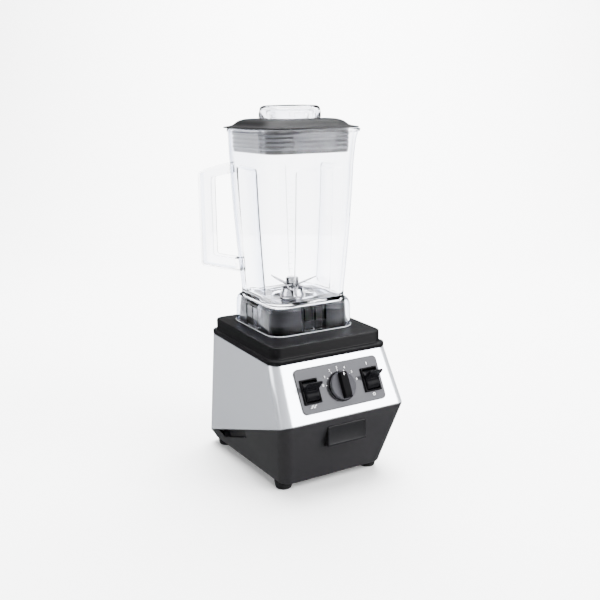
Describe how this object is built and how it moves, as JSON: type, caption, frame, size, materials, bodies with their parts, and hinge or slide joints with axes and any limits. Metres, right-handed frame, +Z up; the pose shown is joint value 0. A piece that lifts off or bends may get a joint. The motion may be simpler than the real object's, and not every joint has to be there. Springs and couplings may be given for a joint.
{
  "type": "countertop blender",
  "caption": "Countertop blender: square motor base with paddle switches and a speed knob, clear tall jar with a side handle, black lid and clear measuring cap.",
  "frame": {"origin": "middle of the whole object's footprint, on the surface the feet stand on", "axes": "+Z up along the jar and motor axis, -Y towards the control panel, +X to the right seen from the front"},
  "size_m": [0.2038, 0.2642, 0.5206],
  "materials": {
    "housing_plastic": "fine satin-textured black moulding",
    "silver_paint": "satin metallic silver, smooth",
    "plate_plastic": "satin black moulding",
    "panel_grey": null,
    "control_black": "gloss black moulding",
    "rubber": "black rubber",
    "clear_copolyester": "clear thick-walled copolyester moulding",
    "lid_black": "soft black lid moulding with a low sheen",
    "polished_steel": "polished stainless steel",
    "laminated_iron": "stacked iron laminations",
    "copper": "enamelled copper",
    "cast_zinc": "cast alloy",
    "inner_plastic": "dark moulding",
    "circuit_board": "green board",
    "carbon": "pressed carbon"
  },
  "bodies": {
    "base": {"lower_housing": "housing_plastic", "upper_housing": "silver_paint", "top_plate": "plate_plastic", "centering_pad": "rubber", "control_panel": "panel_grey", "name_plate": "housing_plastic", "bottom_cover": "housing_plastic", "cable_gland": "housing_plastic", "foot_front_left": "rubber", "foot_front_right": "rubber", "foot_rear_left": "rubber", "foot_rear_right": "rubber", "foot_screw_front_left": "polished_steel", "foot_screw_front_right": "polished_steel", "foot_screw_rear_left": "polished_steel", "foot_screw_rear_right": "polished_steel", "pulse_switch_body": "control_black", "power_switch_body": "control_black", "speed_control": "inner_plastic", "control_board": "circuit_board", "motor_stator": "laminated_iron", "field_winding_upper": "copper", "field_winding_lower": "copper", "motor_bracket_upper": "cast_zinc", "motor_bracket_lower": "cast_zinc", "motor_bearing_upper": "laminated_iron", "motor_bearing_lower": "laminated_iron", "brush_holder_left": "cast_zinc", "brush_holder_right": "cast_zinc", "carbon_brush_left": "carbon", "carbon_brush_right": "carbon", "fan_duct": "inner_plastic", "motor_mount_1": "rubber", "motor_mount_2": "rubber", "motor_mount_3": "rubber", "motor_mount_4": "rubber"},
    "rotor": {"motor_shaft": "laminated_iron", "armature": "laminated_iron", "commutator": "copper", "cooling_fan": "inner_plastic", "drive_socket": "cast_zinc"},
    "jar": {"jar": "clear_copolyester", "blade_hub": "polished_steel", "hub_nut": "polished_steel", "shaft_seal": "rubber", "blade_bearing_upper": "polished_steel", "blade_bearing_lower": "polished_steel"},
    "blades": {"blade_shaft": "polished_steel", "upper_blade": "polished_steel", "middle_blade": "polished_steel", "lower_blade": "polished_steel", "blade_nut": "polished_steel", "jar_coupler": "polished_steel"},
    "lid": {"lid": "lid_black"},
    "cap": {"measuring_cap": "clear_copolyester"},
    "knob": {"speed_knob": "control_black", "knob_spindle": "polished_steel"},
    "pulse": {"pulse_paddle": "control_black"},
    "power": {"power_paddle": "control_black"}
  },
  "joints": [
    {"name": "motor_spin", "type": "hinge", "parent": "base", "child": "rotor", "pos_m": [0.00195, 0.02182, 0.118], "axis": [0, 0, 1], "continuous": true},
    {"name": "jar_lift", "type": "slide", "parent": "base", "child": "jar", "axis": [0, 0, 1], "range_m": [0, 0.06]},
    {"name": "blade_spin", "type": "hinge", "parent": "jar", "child": "blades", "pos_m": [0.00195, 0.02182, 0.245], "axis": [0, 0, 1], "continuous": true},
    {"name": "lid_lift", "type": "slide", "parent": "jar", "child": "lid", "axis": [0, 0, 1], "range_m": [0, 0.05]},
    {"name": "cap_lift", "type": "slide", "parent": "lid", "child": "cap", "axis": [0, 0, 1], "range_m": [0, 0.045]},
    {"name": "knob_turn", "type": "hinge", "parent": "base", "child": "knob", "pos_m": [0.00295, -0.10909, 0.14631], "axis": [0, -0.8802, 0.4747], "range_deg": [-78, 78]},
    {"name": "pulse_press", "type": "hinge", "parent": "base", "child": "pulse", "pos_m": [-0.04545, -0.10852, 0.14736], "axis": [1, 0, 0], "range_deg": [0, 20], "stiffness_Nm_per_rad": 0.25, "springref_deg": -11.46},
    {"name": "power_rock", "type": "hinge", "parent": "base", "child": "power", "pos_m": [0.05135, -0.10852, 0.14736], "axis": [1, 0, 0], "range_deg": [0, 30]}
  ],
  "couplings": [
    {"joint": "blade_spin", "follows": "motor_spin", "ratio": 1}
  ]
}
